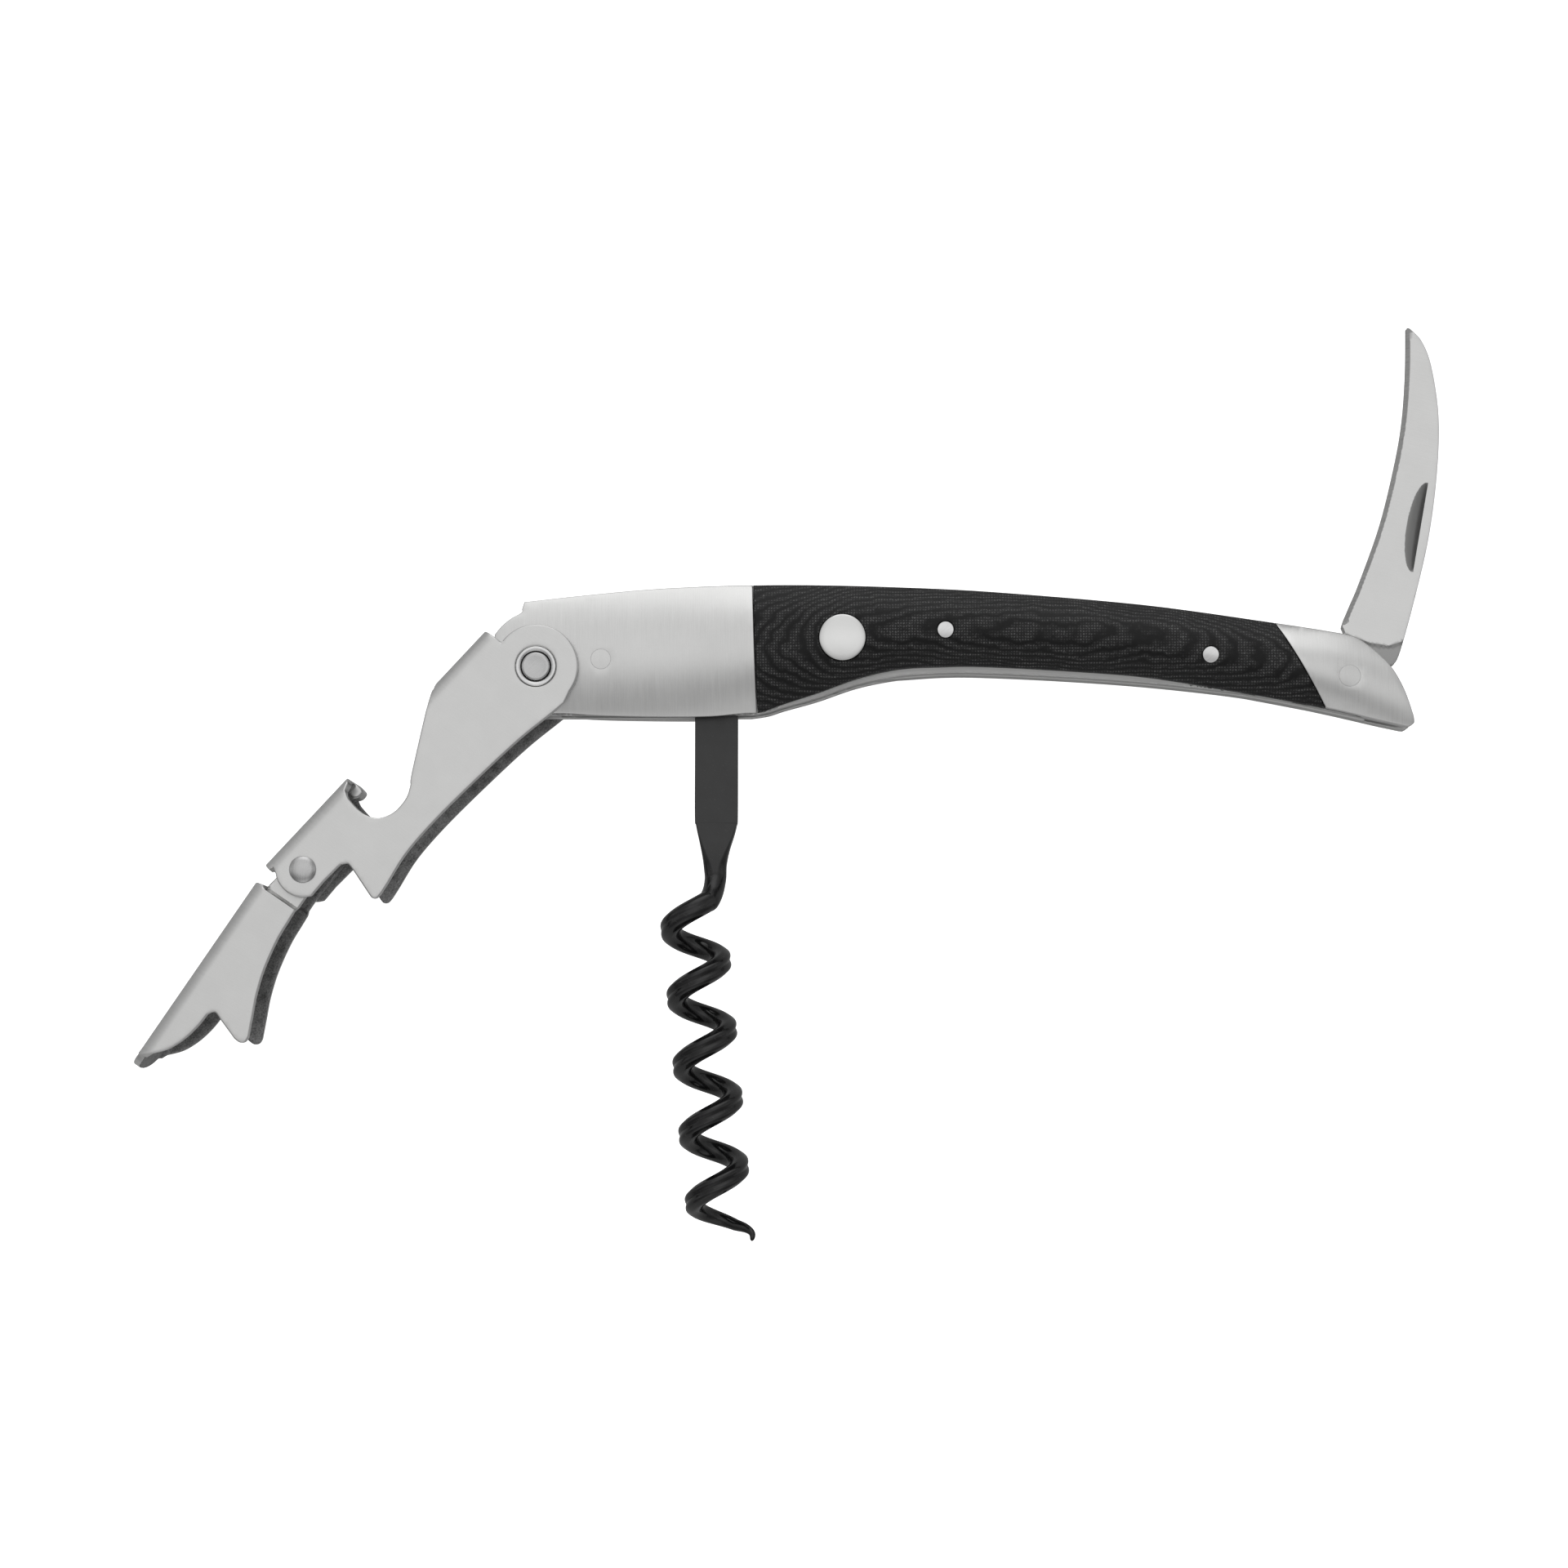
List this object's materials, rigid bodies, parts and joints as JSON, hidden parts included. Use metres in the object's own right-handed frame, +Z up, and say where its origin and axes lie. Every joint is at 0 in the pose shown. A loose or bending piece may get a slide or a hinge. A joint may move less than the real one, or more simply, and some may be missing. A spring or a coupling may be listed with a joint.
{
  "type": "waiters corkscrew",
  "caption": "Waiter's corkscrew with a folding two-step lever, folding worm and curved foil blade in a slim domed handle.",
  "frame": {"origin": "middle of the bounding box's underside, with the tool lying on its side", "axes": "+X along the handle from the lever towards the blade, +Y towards the handle's top edge, +Z up across the handle's layers, along every pivot"},
  "size_m": [0.1716, 0.1204, 0.0138],
  "materials": {
    "brushed_steel": "satin, fine brushed lines",
    "bright_steel": "polished",
    "blade_steel": "fine satin",
    "coated_steel": "black non-stick coating, satin",
    "micarta": "black layered laminate, satin"
  },
  "bodies": {
    "handle": {"back_spring": "brushed_steel", "blade_pivot_pin": "bright_steel", "centre_spacer": "brushed_steel", "far_front_bolster": "brushed_steel", "far_front_scale_pin": "bright_steel", "far_liner": "brushed_steel", "far_rear_bolster": "brushed_steel", "far_rear_scale_pin": "bright_steel", "far_scale": "micarta", "lever_pivot_pin": "bright_steel", "near_front_bolster": "brushed_steel", "near_front_scale_pin": "bright_steel", "near_liner": "brushed_steel", "near_medallion": "bright_steel", "near_rear_bolster": "brushed_steel", "near_rear_scale_pin": "bright_steel", "near_scale": "micarta", "spring_rivet": "bright_steel", "worm_pivot_pin": "bright_steel"},
    "lever_first": {"lever_first_stage": "brushed_steel", "near_lever_bush": "bright_steel", "far_lever_bush": "bright_steel", "second_stage_rivet": "bright_steel"},
    "lever_second": {"lever_second_stage": "brushed_steel"},
    "worm": {"worm": "coated_steel"},
    "blade": {"foil_blade": "blade_steel"}
  },
  "joints": [
    {"name": "lever_fold", "type": "hinge", "parent": "handle", "child": "lever_first", "pos_m": [-0.03262, 0.01486, 0.0069], "axis": [0, 0, 1], "range_deg": [0, 119]},
    {"name": "worm_fold", "type": "hinge", "parent": "handle", "child": "worm", "pos_m": [-0.00922, 0.01186, 0.0069], "axis": [0, 0, 1], "range_deg": [0, 85]},
    {"name": "second_stage_swing", "type": "hinge", "parent": "lever_first", "child": "lever_second", "pos_m": [-0.06296, -0.01175, 0.0069], "axis": [0, 0, 1], "range_deg": [-16, 10]},
    {"name": "blade_fold", "type": "hinge", "parent": "handle", "child": "blade", "pos_m": [0.07348, 0.01361, 0.0069], "axis": [0, 0, 1], "range_deg": [-75, 92]}
  ],
  "couplings": [
    {"joint": "worm_fold", "follows": "lever_fold", "ratio": 0.714}
  ]
}
